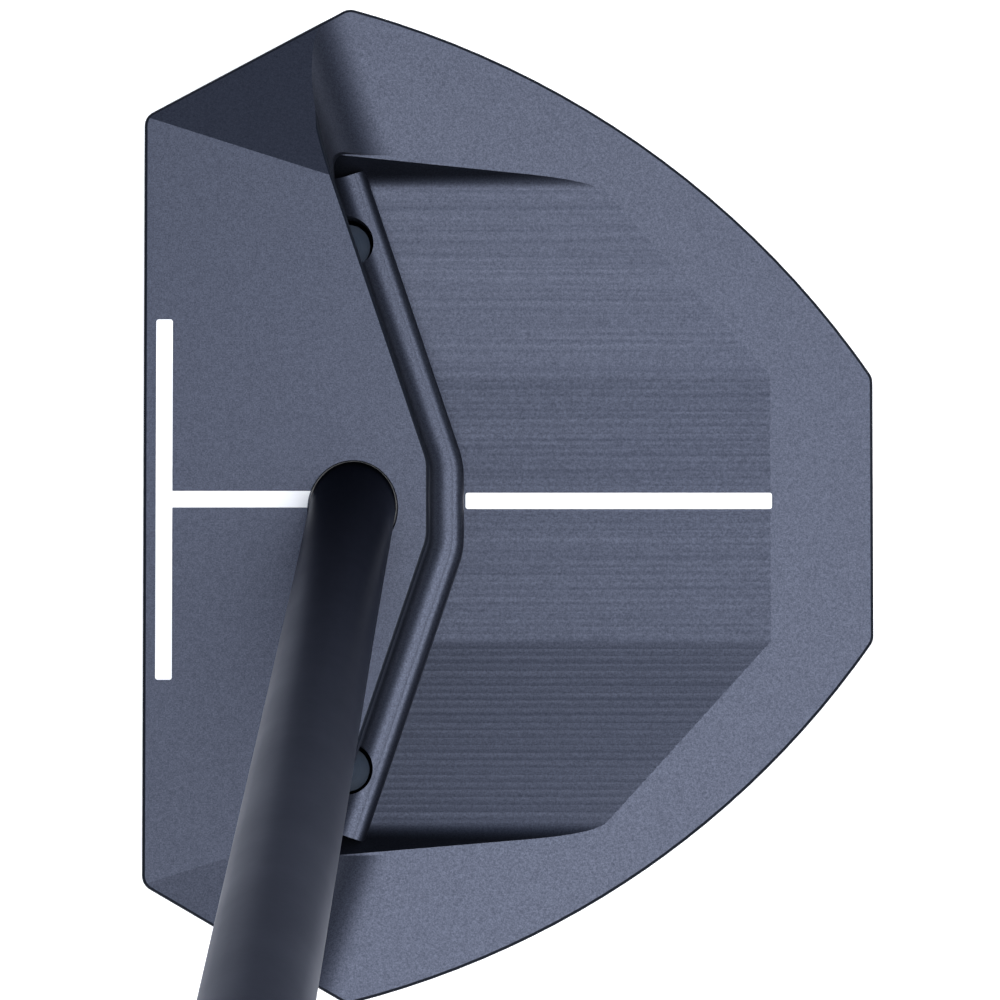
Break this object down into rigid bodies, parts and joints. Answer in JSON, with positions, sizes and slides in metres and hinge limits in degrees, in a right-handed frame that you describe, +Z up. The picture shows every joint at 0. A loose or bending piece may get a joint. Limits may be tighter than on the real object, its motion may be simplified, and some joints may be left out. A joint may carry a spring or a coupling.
{
  "type": "mallet putter",
  "caption": "Centre-shafted mallet putter: milled aluminium head with a raised front slab, swept wings and shallow pocket, white sight marks, screw-in sole weights, tapered shaft, rubber grip.",
  "frame": {"origin": "on the ground plane under the sole, at the middle of the head's depth and width", "axes": "+X from the striking face to the tail, +Y to the toe, +Z up from the sole; the golfer stands on the -Y (heel) side"},
  "size_m": [0.0988, 0.3557, 0.8155],
  "materials": {
    "head_aluminium": "bead-blasted and anodised blue-grey",
    "face_polymer": "satin moulded",
    "adhesive": "cured epoxy",
    "white_paint": "satin paint fill",
    "sole_steel": "brushed",
    "fastener_steel": "blackened",
    "ring_rubber": "matte",
    "shaft_steel": "satin black",
    "tape": "paper tape",
    "grip_rubber": "moulded, finely ribbed",
    "cap_plastic": "moulded"
  },
  "bodies": {
    "putter": {"head_body": "head_aluminium", "face_insert": "face_polymer", "insert_bond": "adhesive", "front_sight_mark": "white_paint", "rear_sight_mark": "white_paint", "sole_plate": "sole_steel", "shaft": "shaft_steel", "shaft_bond": "adhesive", "grip_tape": "tape", "grip": "grip_rubber", "grip_cap": "cap_plastic", "front_toe_sole_screw": "fastener_steel", "front_heel_sole_screw": "fastener_steel", "tail_toe_sole_screw": "fastener_steel", "tail_heel_sole_screw": "fastener_steel", "toe_thread_bush": "fastener_steel", "heel_thread_bush": "fastener_steel"},
    "toe_weight_ring": {"toe_weight_ring": "ring_rubber"},
    "toe_weight": {"toe_weight": "sole_steel"},
    "heel_weight_ring": {"heel_weight_ring": "ring_rubber"},
    "heel_weight": {"heel_weight": "sole_steel"}
  },
  "joints": [
    {"name": "toe_weight_travel", "type": "slide", "parent": "putter", "child": "toe_weight_ring", "axis": [0, 0, -1], "range_m": [0, 0.005]},
    {"name": "toe_weight_turn", "type": "hinge", "parent": "toe_weight_ring", "child": "toe_weight", "pos_m": [-0.01835, 0.02924, 0], "axis": [0, 0, -1], "range_deg": [0, 1812]},
    {"name": "heel_weight_travel", "type": "slide", "parent": "putter", "child": "heel_weight_ring", "axis": [0, 0, -1], "range_m": [0, 0.005]},
    {"name": "heel_weight_turn", "type": "hinge", "parent": "heel_weight_ring", "child": "heel_weight", "pos_m": [-0.01835, -0.02924, 0], "axis": [0, 0, -1], "range_deg": [0, 1812]}
  ],
  "couplings": [
    {"joint": "toe_weight_turn", "follows": "toe_weight_travel", "rad_per_m": 6283.2},
    {"joint": "heel_weight_turn", "follows": "heel_weight_travel", "rad_per_m": 6283.2}
  ]
}
